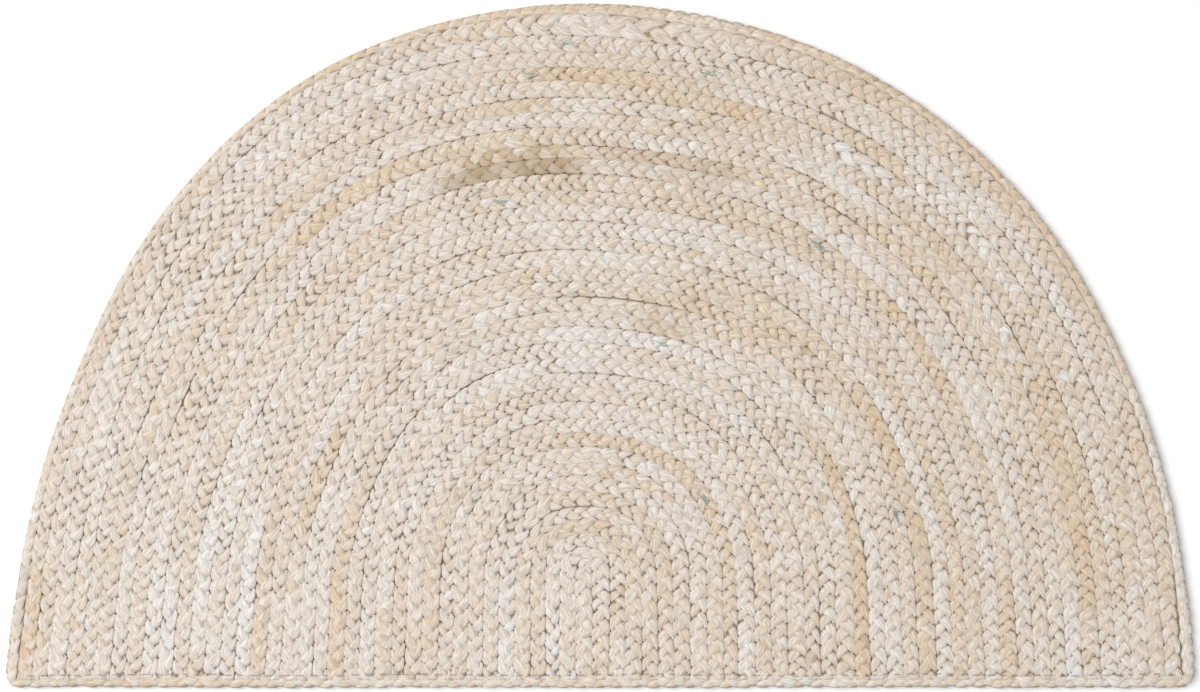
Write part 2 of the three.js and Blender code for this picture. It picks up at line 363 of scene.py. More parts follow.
def plait(route, random, sizes, closed=False):
    """Three strands along a route of x, y, width and period, each with its skin across and up."""
    along, place = ring_places(route, closed)
    middle = np.column_stack([np.interp(place, along, column) for column in route.T])
    slope = np.column_stack([np.interp(place, along, np.gradient(route[:, i], along)) for i in (0, 1)])
    slope /= np.linalg.norm(slope, axis=1)[:, None]
    side = np.column_stack([-slope[:, 1], slope[:, 0]])
    first_ring = 0 if closed else random.integers(0, RINGS)
    alpha = -2 * math.pi * np.arange(SIDES + 1) / SIDES
    strands = []
    for number in range(3):
        ring = first_ring + np.arange(len(place)) + number * RINGS / 3
        phase = math.pi / 4 + 2 * math.pi * ring / RINGS
        bump = phase / math.pi - 0.75  # a whole number each time the strand is on top
        phase = phase - LINGER / 2 * np.cos(2 * phase)
        error = np.clip(wander(random, bump, 1, closed), -MOST_UNEVEN, MOST_UNEVEN)
        size = 1 + sizes["uneven"] * error
        fatness = 1 + 0.5 * sizes["uneven"] * wander(random, bump, 1, closed)
        belly = np.cos(2 * (phase - FATTEST))
        width = sizes["half_width"] * size * fatness * (1 + FATTER * belly)
        thickness = sizes["half_thickness"] * size * (1 + THICKER * belly)
        crossing = np.sin(phase) - STRAIGHTER * np.sin(3 * phase) + SHARPER * np.sin(5 * phase)
        crossing /= 1 + STRAIGHTER + SHARPER
        swing = sizes["swing"] * (1 + wander(random, bump, UNEVEN_SWING, closed)) * crossing
        dive = np.tanh(PLATEAU * np.sin(2 * (phase + EARLY))) / math.tanh(PLATEAU)
        lift = wander(random, bump, UNEVEN_LIFT, closed) - sizes["dip"] * dive
        radius = strand_section(phase[:, None], width[:, None], thickness[:, None], alpha)
        strand = {"across": swing[:, None] + radius * np.cos(alpha)}
        strand["up"] = lift[:, None] + radius * np.sin(alpha)
        strand["bump"], strand["place"] = bump, place + random.uniform(0, 900)
        strands.append(strand)
    return {"middle": middle, "side": side, "place": place, "strands": strands}


print("a strand is", 2 * HALF_WIDTH, "by", 2 * HALF_THICKNESS, "mm, and swings every", PERIOD, "mm")

# %% [markdown]
# ## Colour along a strand
#
# Bleached jute is never one colour. A strand drifts between ivory, sand and straw as new fibre is
# fed in, and here and there a stretch is golden, nearly white, or stained. The drift is a seeded
# random line along each row and each strand. What stands out on this rug is a short table, by row
# and by the angle from +X at which it lies, seen from the heart. Row -1 is the binding. A mark says
# over how many degrees its ends fade, how many of the three strands it is on, and how much it adds.

# %% Marks that stand out
MARKS = [
    {"row": 17, "from": -50, "to": 34, "soft": 4, "strands": 3, "straw": 0.6, "bleach": -0.3, "soil_and_shade": 0.04},
    {"row": 31, "from": -6, "to": 24, "soft": 4, "strands": 3, "straw": 0.55, "bleach": -0.3, "soil_and_shade": 0.02},
    {"row": 30, "from": 0, "to": 18, "soft": 4, "strands": 3, "straw": 0.2, "bleach": -0.1},
    {"row": 31, "from": 36, "to": 56, "soft": 4, "strands": 3, "straw": 0.3, "bleach": -0.2},
    {"row": 30, "from": 38, "to": 50, "soft": 3, "strands": 3, "straw": 0.25, "bleach": -0.2, "soil_and_shade": 0.04},
    {"row": 31, "from": 120, "to": 133, "soft": 3, "strands": 3, "straw": 0.3, "bleach": -0.2},
    {"row": 36, "from": 180, "to": 192, "soft": 3, "strands": 3, "straw": 0.4, "bleach": -0.2},
    {"row": 35, "from": 181, "to": 190, "soft": 3, "strands": 3, "straw": 0.2, "bleach": -0.1},
    {"row": 36, "from": 76, "to": 95, "soft": 3, "strands": 3, "straw": -0.15, "bleach": 0.05, "soil_and_shade": 0.06},
    {"row": 31, "from": 94, "to": 104, "soft": 3, "strands": 3, "straw": 0.3, "bleach": -0.2},
    {"row": 32, "from": 68, "to": 80, "soft": 3, "strands": 3, "straw": 0.3, "bleach": -0.2},
    {"row": 27, "from": 91, "to": 111, "soft": 5, "strands": 3, "straw": 0.3, "bleach": -0.3, "soil_and_shade": 0.65},
    {"row": 28, "from": 93, "to": 108, "soft": 5, "strands": 2, "straw": 0.3, "bleach": -0.3, "soil_and_shade": 0.34},
    {"row": 28, "from": 68, "to": 86, "soft": 5, "strands": 3, "straw": 0.1, "bleach": -0.2, "soil_and_shade": 0.2},
    {"row": 27, "from": 70, "to": 84, "soft": 5, "strands": 2, "straw": 0.1, "bleach": -0.2, "soil_and_shade": 0.14},
    {"row": 17, "from": 64, "to": 79, "soft": 4, "strands": 3, "straw": 0.2, "bleach": -0.2, "soil_and_shade": 0.2},
    {"row": 18, "from": 66, "to": 77, "soft": 4, "strands": 2, "straw": 0.2, "bleach": -0.1, "soil_and_shade": 0.16},
    {
        "row": 20,
        "from": 43.5,
        "to": 46.5,
        "soft": 1,
        "strands": 1,
        "straw": 0.6,
        "bleach": -0.3,
        "soil_and_shade": 0.5,
    },
    {"row": 18, "from": 19, "to": 22, "soft": 1, "strands": 1, "straw": 0.6, "bleach": -0.3, "soil_and_shade": 0.4},
    {"row": 16, "from": 14, "to": 17, "soft": 1, "strands": 1, "straw": 0.2, "bleach": -0.3, "soil_and_shade": 0.5},
    {"row": 14, "from": -23, "to": -19, "soft": 1, "strands": 1, "straw": 0.4, "bleach": -0.3, "soil_and_shade": 0.45},
    {"row": 17, "from": -17, "to": -14, "soft": 1, "strands": 1, "straw": 0.4, "bleach": -0.3, "soil_and_shade": 0.4},
    {"row": 23, "from": -16, "to": -14, "soft": 1, "strands": 1, "straw": 0.2, "bleach": -0.3, "soil_and_shade": 0.5},
    {"row": 22, "from": -2, "to": 0.5, "soft": 1, "strands": 1, "straw": 0.3, "bleach": -0.3, "soil_and_shade": 0.5},
    {"row": 33, "from": 34, "to": 50, "soft": 4, "strands": 3, "straw": -0.2, "bleach": 0.3},
    {"row": 32, "from": 53, "to": 59, "soft": 1, "strands": 2, "straw": -0.2, "bleach": 0.5},
    {"row": 16, "from": 150, "to": 215, "soft": 15, "strands": 3, "straw": 0.25, "bleach": -0.15},
    {"row": 19, "from": 150, "to": 215, "soft": 15, "strands": 3, "straw": 0.25, "bleach": -0.15},
    {"row": 21, "from": 165, "to": 215, "soft": 15, "strands": 3, "straw": 0.2, "bleach": -0.15},
    {"row": 24, "from": -45, "to": 8, "soft": 15, "strands": 3, "straw": 0.2, "bleach": -0.15},
    {"row": 21, "from": -35, "to": 30, "soft": 8, "strands": 3, "straw": 0.5, "bleach": -0.3, "soil_and_shade": 0.04},
    {"row": -1, "from": 36, "to": 120, "soft": 9, "strands": 3, "straw": 0.5, "bleach": -0.25},
    {"row": -1, "from": 179, "to": 186, "soft": 2, "strands": 2, "straw": -0.4, "bleach": 0.6, "soil_and_shade": 0.3},
]
STRAW, BLEACH = 0.4, 0.3  # the usual amounts
MORE_STRAW_AT_RIGHT = 0.13  # and so much less at the left
PAINTED_SHADE_AT_CROWN, PAINTED_SHADE_AT_RIGHT = 0.06, 0.03  # painted shade: how much darker the colour gets towards the crown and the right
TO_THE_SIDE, TO_THE_CROWN = 300, 380  # how far from the heart these are full
STRAW_DRIFT, BLEACH_DRIFT, STRAND_DRIFT = 140, 110, 60  # how far it is from one tone to the next


def angle_from_heart(x, y):
    """The angle from +X in degrees, from -90 to 270, so that no row has a jump in it."""
    angle = np.degrees(np.arctan2(y, x))
    return np.where(angle < -90, angle + 360, angle)


def within(angle, stretch):
    """How far inside a stretch each angle is, from 0 to 1, with soft ends."""
    into = np.minimum(angle - stretch["from"], stretch["to"] - angle)
    return np.clip(into / stretch["soft"] + 0.5, 0, 1)


def colouring(row, made, random):
    """Straw, bleach, and stains with painted shade, for each ring of a row's three strands."""
    x, y, place = made["middle"][:, 0], made["middle"][:, 1], made["place"]
    angle = angle_from_heart(x, y)
    rightwards, crownwards = x / TO_THE_SIDE, y / TO_THE_CROWN
    straw = STRAW + MORE_STRAW_AT_RIGHT * np.clip(rightwards, -1, 1) + random.normal(0, 0.09)
    # Painted shade: the colour is darkened towards the crown and the right, where the light is weaker; it
    # goes in with the stains.
    painted_falloff_shade = PAINTED_SHADE_AT_CROWN * np.clip(crownwards, 0, 1) + PAINTED_SHADE_AT_RIGHT * np.clip(rightwards, 0, 1)
    base = {
        "straw": straw + wander(random, place / STRAW_DRIFT, 0.15),
        "bleach": BLEACH + random.normal(0, 0.08) + wander(random, place / BLEACH_DRIFT, 0.16),
        "soil_and_shade": painted_falloff_shade,
    }
    for number, strand in enumerate(made["strands"]):
        bump = strand["bump"]
        own = {"straw": 0.12 * wander(random, place / STRAND_DRIFT) + 0.05 * wander(random, bump)}
        own["bleach"] = 0.12 * wander(random, place / STRAND_DRIFT) + 0.13 * wander(random, bump)
        own["soil_and_shade"] = 0.03 * wander(random, bump)
        patchy = np.clip(0.9 + 0.3 * wander(random, bump), 0.5, 1.3)
        for mark in MARKS:
            if mark["row"] == row and number < mark["strands"]:
                for key in own:
                    own[key] = own[key] + patchy * within(angle, mark) * mark.get(key, 0)
        strand["marks"] = {key: np.clip(base[key] + own[key], 0, 1) for key in base}


print(len(MARKS), "stretches of row stand out by their colour")

# %% [markdown]
# ## From strands to a mesh
#
# A strand is a tube. Here it starts as a flat grid, with its rings along X and its sides along Y,
# because that one operator gives every tube an even mesh in a known order. The grid's corners are
# then moved to the strand's skin, its two long edges are welded into a seam, and its ends are
# filled. Extruding ring after ring would give the same tube a few hundred times slower.

# %% Rolling tubes from grids
STRAND_ROUND = 17.5  # round a strand, for its pattern
BAKE_MARGIN, BAKE_START = 8, 2  # left free on each line of the baked picture, and of it at the start
LINE_PITCH = 1.05  # from line to line, beside a line's height
STRIP_GAP = 5  # between one tube's strip and the next


def bake_layout(along, height, faces):
    """Lays the strips of all strands in one square, line under line, for a baked picture."""
    total = along.max()
    side = math.sqrt(total * height * 1.08) + BAKE_MARGIN
    while math.ceil(total / (side - BAKE_MARGIN)) * height * LINE_PITCH > side:
        side *= 1.01
    line_length = side - BAKE_MARGIN
    corners = along[faces]
    line = np.floor(corners.min(axis=1) / line_length)[:, None]
    across = (corners - line * line_length + BAKE_START) / side
    return across, line * height * LINE_PITCH / side, side


def tube_mesh(name, tubes, girth=STRAND_ROUND):
    """One mesh of many tubes. A tube has points, by ring and side, places along it, and marks."""
    flat = bmesh.new()
    for tube in tubes:
        rings, corners, _ = tube["points"].shape
        bmesh.ops.create_grid(flat, x_segments=rings - 1, y_segments=corners - 1, size=0.5)
    mesh = bpy.data.meshes.new(name)
    flat.to_mesh(mesh)
    flat.free()

    by_side = [tube["points"].transpose(1, 0, 2).reshape(-1, 3) for tube in tubes]
    mesh.vertices.foreach_set("co", (np.concatenate(by_side) * MM).astype(np.float32).ravel())
    for key in tubes[0]["marks"]:
        values = [np.tile(tube["marks"][key], tube["points"].shape[1]) for tube in tubes]
        attribute = mesh.attributes.new(key, "FLOAT", "POINT")
        attribute.data.foreach_set("value", np.concatenate(values).astype(np.float32))

    faces = np.empty(len(mesh.loops), int)
    mesh.loops.foreach_get("vertex_index", faces)
    faces = faces.reshape(-1, 4)
    around, place, end_to_end, start = [], [], [], 0
    for tube in tubes:
        rings, corners, _ = tube["points"].shape
        around.append(np.repeat(np.linspace(0, girth, corners), rings))
        place.append(np.tile(tube["place"], corners))
        end_to_end.append(place[-1] - tube["place"][0] + start)
        start = end_to_end[-1].max() + STRIP_GAP
    around, place, end_to_end = (np.concatenate(column) for column in (around, place, end_to_end))
    pattern = np.stack([around[faces], place[faces]], axis=-1)
    mesh.uv_layers.new(name="Fibre").data.foreach_set("uv", pattern.astype(np.float32).ravel())
    across, line, side = bake_layout(end_to_end, girth, faces)
    picture = np.stack([across, line + around[faces] / side], axis=-1)
    mesh.uv_layers.new(name="OFBake").data.foreach_set("uv", picture.astype(np.float32).ravel())

    rolled = bmesh.new()
    rolled.from_mesh(mesh)
    bmesh.ops.remove_doubles(rolled, verts=rolled.verts, dist=1e-7)
    open_ends = [edge for edge in rolled.edges if edge.is_boundary]
    bmesh.ops.holes_fill(rolled, edges=open_ends, sides=0)
    rolled.to_mesh(mesh)
    rolled.free()
    mesh.shade_smooth()
    piece = bpy.data.objects.new(name, mesh)
    bpy.context.scene.collection.objects.link(piece)
    return piece


# %% [markdown]
# ## The coiled rows
#
# The rows are made in five bands, from the heart outwards, so that no mesh is too heavy. Near the
# cut a row is pressed down by the seam that holds the binding.

# %% Plaiting the rows
BANDS = [(0, 13), (14, 20), (21, 26), (27, 31), (32, 36)]
PRESSED, PRESSED_REACH = 0.15, 5  # share of its height that a row loses near the seam
LOWEST, FLAT_BOTTOM = 0.02, 0.35  # nothing lies lower, and where the floor starts to press
FLATTENED = 0.06  # what is left of the depth that would lie below the flat bottom
FLAT_TOP, FLAT_SOFTNESS = 8.5, 0.5
ROW_SIDE, SIDE_SOFTNESS = 6.4, 0.35  # neighbouring rows press each other's sides flat
PLUMPER = 1.25  # how much fuller the strands are than the space they are pressed into
LONGER_AT_LEFT, FULLY_LEFT = 0.1, 350  # share by which the plait is looser, so far left of the heart
UNEVEN_PERIOD = 1.6  # from row to row
UNEVEN_PACE, PACE_DRIFT = 0.1, 32  # share by which a row's pace changes, and over what length
ASTRAY, ASTRAY_AT_BINDING, ASTRAY_DRIFT = 0.35, 0.2, 45  # how far a row strays from its line
LOOSE = [
    {"row": 36, "from": 77, "to": 95, "soft": 3, "longer": 0.8},
    {"row": 32, "from": 52, "to": 60, "soft": 2, "longer": 0.5},
    {"row": 15, "from": 48, "to": 55, "soft": 3, "longer": 0.4},
]
row_sizes = {
    "swing": SWING,
    "dip": DIP,
    "half_width": HALF_WIDTH,
    "half_thickness": HALF_THICKNESS,
    "uneven": 0.17,
}


def held_below(values, limit, softness):
    """Values that never pass a limit, and bend away from it softly as they near it."""
    return limit - softness * np.logaddexp(0, (limit - values) / softness)


def put_down(made, across, up):
    """A strand's skin at its place on the rug, in millimetres, pressed nearly flat on the floor."""
    points = np.empty(across.shape + (3,))
    for i in (0, 1):
        points[..., i] = HEART[i] + made["middle"][:, i, None] + made["side"][:, i, None] * across
    over = held_below(up, FLAT_TOP, FLAT_SOFTNESS) - FLAT_BOTTOM
    points[..., 2] = np.maximum(FLAT_BOTTOM + np.maximum(over, FLATTENED * over), LOWEST)
    return points


def row_tubes(row):
    """The three strands of one row, at their place on the rug."""
    random = np.random.default_rng(700 + row)
    route = routes[row]
    leftwards = np.clip(-route[:, 0] / FULLY_LEFT, 0, 1)
    usual = (PERIOD + random.normal(0, UNEVEN_PERIOD)) * (1 + LONGER_AT_LEFT * leftwards)
    along = np.arange(len(route)) * ROUTE_STEP
    pace = usual * (1 + wander(random, along / PACE_DRIFT, UNEVEN_PACE))
    angle = angle_from_heart(route[:, 0], route[:, 1])
    for stretch in LOOSE:
        if stretch["row"] == row:
            pace = pace * (1 + stretch["longer"] * within(angle, stretch))
    made = plait(np.column_stack([route, pace]), random, row_sizes)
    colouring(row, made, random)
    place = made["place"]
    from_end = np.minimum(place, place[-1] - place) if row else place
    pressed = 1 - PRESSED * np.exp(-((from_end / PRESSED_REACH) ** 2))
    height = (1 + 0.03 * math.sin(1.9 * row + 0.6)) * pressed[:, None]
    wide = made["middle"][:, 2, None] / USUAL_WIDTH
    far = ASTRAY_AT_BINDING if row == ROWS else ASTRAY
    astray = wander(random, place / ASTRAY_DRIFT, far)[:, None]
    for strand in made["strands"]:
        up = (PLAIT_HEIGHT / 2 + PLUMPER * strand["up"]) * height
        from_middle = held_below(np.abs(strand["across"]), ROW_SIDE, SIDE_SOFTNESS)
        across = from_middle * np.sign(strand["across"])
        points = put_down(made, across * wide + astray, up)
        yield {"points": points, "place": strand["place"], "marks": strand["marks"]}


KNOB_TURNS, KNOB_RINGS = (-0.2, 1.6), 26  # where its turns start and stop
KNOB_REACH, KNOB_RISE = (4.8, 0.6), (5.6, 6.6)  # from its middle and from the floor, at either end
KNOB_PLACE = (1.0, 1.8)  # its middle, beside the core's tip
KNOB_HALF_WIDTH, KNOB_HALF_THICKNESS = 2.5, 2.7


def heart_knob():
    """The plait's first end, rolled up into a knob at the core's tip."""
    turns = np.linspace(*KNOB_TURNS, KNOB_RINGS) * 2 * math.pi
    reach = np.linspace(*KNOB_REACH, KNOB_RINGS)
    way = np.column_stack([np.cos(turns), np.sin(turns)])
    middle = way * reach[:, None] + (KNOB_PLACE[0], routes[0][-1, 1] + KNOB_PLACE[1])
    alpha = -2 * math.pi * np.arange(SIDES + 1) / SIDES
    rise = np.linspace(*KNOB_RISE, KNOB_RINGS)[:, None]
    made = {"middle": middle, "side": way}
    across = KNOB_HALF_WIDTH * np.cos(alpha)[None] + 0 * rise
    points = put_down(made, across, rise + KNOB_HALF_THICKNESS * np.sin(alpha))
    marks = {"straw": 0.3 + 0 * reach, "bleach": 0.5 + 0 * reach, "soil_and_shade": 0 * reach}
    return {"points": points, "place": np.cumsum(reach), "marks": marks}


bands = []
for first, last in BANDS:
    tubes = [heart_knob()] if first == 0 else []
    tubes += [tube for row in range(first, last + 1) for tube in row_tubes(row)]
    bands.append(tube_mesh(f"plait_rows_{first:02d}_to_{last:02d}", tubes))
    print(bands[-1].name, "has", len(bands[-1].data.polygons), "faces")

# %% [markdown]
# ## The binding
#
# The second plait is narrower and stands almost on its edge, so from above only a rope of slanted
# leaves shows, and more of its face where it lies flatter, as at the two lower corners. It is the
# same plait, leaned over about its own middle and drawn to the width and height that it has there.

# %% Plaiting the binding
EDGING_HEIGHT, LAID_SHARE = 9.2, 0.84  # on its edge, and the share of it that is left where it lies flat
WIDEST_EDGING, NARROWEST_EDGING = 12.6, 6.6  # seen from above, flat and on its edge
EDGING_PERIOD, LONGER_ON_STRAIGHT = 33, 8
EDGING_WAVER, WAVER_LENGTH = 0.3, 47  # how far its width wavers along the straight edge
EDGING_SOFTNESS = 0.3  # how softly its outer side is held at the rug's outline
OVERLAP = 1.8  # how far it is pulled over the rows, so that no gap shows
GOLDEN_OUTSIDE = 0.55  # its outer leaves are more golden than its inner ones
edging_sizes = {
    "swing": 2.4,
    "dip": 1.6,
    "half_width": 3.1,
    "half_thickness": 2.0,
    "uneven": 0.1,
}


def edging_route():
    """The binding's middle, once round the rug, with its width from above and its period."""
    angles = np.linspace(RIGHT_CUT, LEFT_CUT, 400)
    turn = np.radians(angles)
    reach, width = field_reach(angles), rim_value(angles, "edging")
    rim = np.column_stack([reach * np.cos(turn), reach * np.sin(turn)])
    slope = np.gradient(rim, axis=0)
    out = np.column_stack([slope[:, 1], -slope[:, 0]]) / np.linalg.norm(slope, axis=1)[:, None]
    arc = np.column_stack([rim + out * (SEWN_GAP + width[:, None] / 2), width])

    def corner(point, start, end, width_start, width_end):
        turns = np.linspace(start, end, 12)[1:-1]
        widths = np.linspace(width_start, width_end, 12)[1:-1]
        reach = SEWN_GAP + widths / 2
        x, y = point[0] + reach * np.cos(turns), point[1] + reach * np.sin(turns)
        return np.column_stack([x, y, widths])

    down = -math.pi / 2
    left_way = math.atan2(out[-1, 1], out[-1, 0]) % (2 * math.pi) - 2 * math.pi
    right_way = math.atan2(out[0, 1], out[0, 0])
    left = corner(rim[-1], left_way, down, width[-1], STRAIGHT_EDGING_WIDTH)
    right = corner(rim[0], down, right_way, STRAIGHT_EDGING_WIDTH, width[0])
    x = np.linspace(rim[-1, 0], rim[0, 0], 300)
    straight_width = STRAIGHT_EDGING_WIDTH + EDGING_WAVER * np.sin(x / WAVER_LENGTH)
    straight = np.column_stack([x, CUT - SEWN_GAP - straight_width / 2, straight_width])
    route, _ = spread_evenly(np.concatenate([arc, left, straight, right, arc[:1]]), ROUTE_STEP)
    on_straight = np.clip((CUT - route[:, 1]) / 3, 0, 1)
    return np.column_stack([route, EDGING_PERIOD + LONGER_ON_STRAIGHT * on_straight])


def edging_tubes():
    """The three strands of the binding, leaned over to the width that shows from above."""
    random = np.random.default_rng(41)
    made = plait(edging_route(), random, edging_sizes, closed=True)
    colouring(-1, made, random)
    seen = made["middle"][:, 2, None] + OVERLAP
    lean = np.arccos(np.clip((seen - NARROWEST_EDGING) / (WIDEST_EDGING - NARROWEST_EDGING), 0, 1))
    wide = 2 * (edging_sizes["swing"] + edging_sizes["half_width"])
    thick = 2 * (edging_sizes["dip"] + edging_sizes["half_thickness"])
    seen_now = np.hypot(wide * np.cos(lean), thick * np.sin(lean))
    height_now = np.hypot(wide * np.sin(lean), thick * np.cos(lean))
    height = EDGING_HEIGHT * (LAID_SHARE + (1 - LAID_SHARE) * np.sin(lean))
    for strand in made["strands"]:
        across = strand["across"] * np.cos(lean) - strand["up"] * np.sin(lean)
        up = strand["across"] * np.sin(lean) + strand["up"] * np.cos(lean)
        across = across * seen / seen_now
        outwards = held_below(-across, seen / 2 + EDGING_SOFTNESS, EDGING_SOFTNESS)
        inwards = OVERLAP / 2 - outwards
        points = put_down(made, inwards, (up / height_now + 0.5) * height)
        marks = dict(strand["marks"])
        marks["straw"] = marks["straw"] - GOLDEN_OUTSIDE * inwards.mean(axis=1) / (seen[:, 0] / 4)
        yield {"points": points, "place": strand["place"], "marks": marks}


edging = tube_mesh("edging_plait_on_edge", list(edging_tubes()))
print("the binding has", len(edging.data.polygons), "faces")

# %% [markdown]
# ## What lies in the hollows
#
# Between the strands lie short fibres and the thread that laces row to row, packed into a web. It
# closes the pinholes, so that no floor shows through a sound rug. It is made as one thin ribbed
# sheet a little above the plaits' middle, from the same routes as the rows. Its dark brown is
# painted shade, for the shadow deep in the pinholes.

# %% The web of packed fibre
WEB_TOP_AT_ROW, WEB_TOP_AT_GROOVE, WEB_TOP_AT_BINDING = 6.2, 5.6, 6.0  # above the floor
WEB_THICKNESS = 1.6
WEB_STEPS = 150


def web_lines():
    """Lines from the core outwards, each once over the rug, with the web's height on it."""
    share = np.linspace(0, 1, WEB_STEPS + 1)
    foot, tip = routes[0][0, 1], routes[0][-1, 1]
    fold = np.column_stack([np.zeros_like(share), foot + (tip - foot) * (1 - np.abs(2 * share - 1))])
    lines = [(fold, WEB_TOP_AT_ROW)]
    for row in range(1, ROWS + 1):
        route = routes[row]
        slope = np.gradient(route[:, :2], axis=0)
        slope /= np.linalg.norm(slope, axis=1)[:, None]
        tucked_in = TUCKED_IN if row == ROWS else 0
        out = np.column_stack([slope[:, 1], -slope[:, 0]]) * (route[:, 2:] / 2 + tucked_in)
        sides = (-1, 0, 1) if row == 1 else (0, 1)
        for way in sides:
            line = route[:, :2] + way * out
            places = share * (len(line) - 1)
            even = [np.interp(places, np.arange(len(line)), line[:, i]) for i in (0, 1)]
            lines.append((np.column_stack(even), WEB_TOP_AT_GROOVE if way else WEB_TOP_AT_ROW))
    lines[-1] = (lines[-1][0], WEB_TOP_AT_BINDING)
    return lines


def make_web():
    lines = web_lines()
    sheet = bmesh.new()
    bmesh.ops.create_grid(sheet, x_segments=WEB_STEPS, y_segments=len(lines) - 1, size=0.5)
    for number, vertex in enumerate(sheet.verts):
        line, step = divmod(number, WEB_STEPS + 1)
        points, height = lines[line]
        x, y = points[step] + HEART
        vertex.co = (x * MM, max(y, HEART[1] + CUT - TUCKED_IN) * MM, height * MM)
    bmesh.ops.remove_doubles(sheet, verts=sheet.verts, dist=1e-6)
    bmesh.ops.recalc_face_normals(sheet, faces=sheet.faces)
    bmesh.ops.solidify(sheet, geom=sheet.faces[:], thickness=WEB_THICKNESS * MM)
    bmesh.ops.recalc_face_normals(sheet, faces=sheet.faces)
    mesh = bpy.data.meshes.new("packed_fibre_web")
    sheet.to_mesh(mesh)
    sheet.free()
    mesh.shade_smooth()
    piece = bpy.data.objects.new("packed_fibre_web", mesh)
    bpy.context.scene.collection.objects.link(piece)
    return piece


web = make_web()
heights = [vertex.co.z / MM for vertex in web.data.vertices]
print("the web has", len(web.data.polygons), "faces")
print("it lies from", round(min(heights), 1), "to", round(max(heights), 1), "mm above the floor")

# %% [markdown]
# ## Threads and stray fibres
#
# Three kinds of thin thing lie on the plaits: the grey seam inside the straight edge, short tacks
# between the rows, and fibres that have worked loose, a few of them dyed teal before they were spun
# in. Each is drawn as a line from above and let fall on the plaits, so it bridges the crevices as a
# real one does. Hair particles would be quicker to set up, but they would lie through the strands.

# %% Letting threads fall on the plaits
DROPPED_FROM = 0.05  # metres
BLUNTNESS = 0.25  # radians of a thread's rounded taper that are cut off at each end
FIBRE_STEP, FEWEST_POINTS = 1.5, 5


def fallen(line, bridging):
    """The height at which a line of x and y comes to lie, bridging so many points each way."""
    graph = bpy.context.evaluated_depsgraph_get()
    heights = []
    for x, y in line:
        start = Vector((x * MM, y * MM, DROPPED_FROM))
        landing = bpy.context.scene.ray_cast(graph, start, Vector((0, 0, -1)))[1]
        heights.append(landing.z / MM)
    longer = np.pad(heights, bridging, mode="edge")
    windows = np.lib.stride_tricks.sliding_window_view(longer, 2 * bridging + 1)
    return windows.max(axis=1)


def thin_tube(line, height, radius, sides, marks):
    """A tube round a line of x and y at a height, thinner at both ends, with a flat side on top."""
    slope = np.gradient(line, axis=0)
    slope /= np.linalg.norm(slope, axis=1)[:, None]
    side = np.column_stack([-slope[:, 1], slope[:, 0]])
    alpha = math.pi / 2 + math.pi / sides * (1 - 2 * np.arange(sides + 1))
    taper = np.sqrt(np.sin(np.linspace(BLUNTNESS, math.pi - BLUNTNESS, len(line))))
    across = (radius * taper)[:, None] * np.cos(alpha)
    points = np.empty(across.shape + (3,))
    for i in (0, 1):
        points[..., i] = line[:, i, None] + side[:, i, None] * across
    points[..., 2] = height[:, None] + (radius * taper)[:, None] * np.sin(alpha)
    steps = np.linalg.norm(np.diff(line, axis=0), axis=1)
    place = np.concatenate([[0], np.cumsum(steps)])
    even_marks = {key: marks[key] + 0 * place for key in marks}
    return {"points": points, "place": place, "marks": even_marks}


def loose_line(random, start, heading, length, bend):
    """Points of a fibre that wavers as it goes."""
    count = max(FEWEST_POINTS, int(length / FIBRE_STEP))
    headings = heading + bend * np.cumsum(random.normal(0, 1, count))
    steps = np.column_stack([np.cos(headings), np.sin(headings)]) * length / count
    return start + np.cumsum(steps, axis=0)


# %% The seam, the tacks and the fibres
SEAM_INSIDE = 0.6  # mm from the cut, over the rows' ends
SEAM_STITCH, SEAM_GAP = 8.0, 3.0
SEAM_START, SEAM_STOP = 6, 12  # from the rim at the left, and at the right
STITCH_POINTS, LET_IN = 9, 1.2  # how deep a stitch's ends go into the rows
SEAM_RADIUS, TACK_RADIUS = 0.38, 0.28
FIBRES, TUFTS, IN_A_TUFT, TACKS = 1000, 60, 10, 260
PALE_SHARE = 0.6  # of the single fibres
INSIDE = 2  # a loose thread stays this far inside the rows' rim and the cut
TEAL = [
    {"row": 26, "angle": 53.2, "fibres": 22},
    {"row": 26, "angle": 105.7, "fibres": 10},
    {"row": 25, "angle": 102.1, "fibres": 8},
    {"row": 35, "angle": 91.7, "fibres": 12},
    {"row": 33, "angle": 96.0, "fibres": 9},
    {"row": 34, "angle": 75.3, "fibres": 8},
    {"row": 16, "angle": 70.2, "fibres": 10},
    {"row": 20, "angle": 8.3, "fibres": 9},
    {"row": 9, "angle": 27.0, "fibres": 12},
    {"row": 26, "angle": 19.2, "fibres": 8},
]


def seam_threads():
    """Stitches along the cut, each let into the rows at both ends."""
    random = np.random.default_rng(5)
    grey = {"soil_and_shade": 0.1}
    x = HEART[0] + RIM_X[0] + SEAM_START
    while x < HEART[0] + RIM_X[1] - SEAM_STOP:
        length = SEAM_STITCH * random.uniform(0.6, 1.2)
        share = np.linspace(0, 1, STITCH_POINTS)
        y = HEART[1] + CUT + SEAM_INSIDE + 0.5 * np.sin(x / 31) + random.normal(0, 0.15)
        line = np.column_stack([x + share * length, y + 0.4 * share * random.normal()])
        height = fallen(line, 1) + 0.2 - LET_IN * np.abs(2 * share - 1) ** 4
        yield thin_tube(line, height, SEAM_RADIUS, 5, grey)
        x += length + SEAM_GAP * random.uniform(0.5, 1.5)


def row_place(random, row, angle):
    """A spot on a row near an angle, and the heading of the row there."""
    route = routes[row]
    nearest = np.abs(angle_from_heart(route[:, 0], route[:, 1]) - angle).argmin()
    step = route[min(nearest + 1, len(route) - 1), :2] - route[nearest - 1, :2]
    return route[nearest, :2] + HEART, math.atan2(step[1], step[0]), route[nearest, 2]


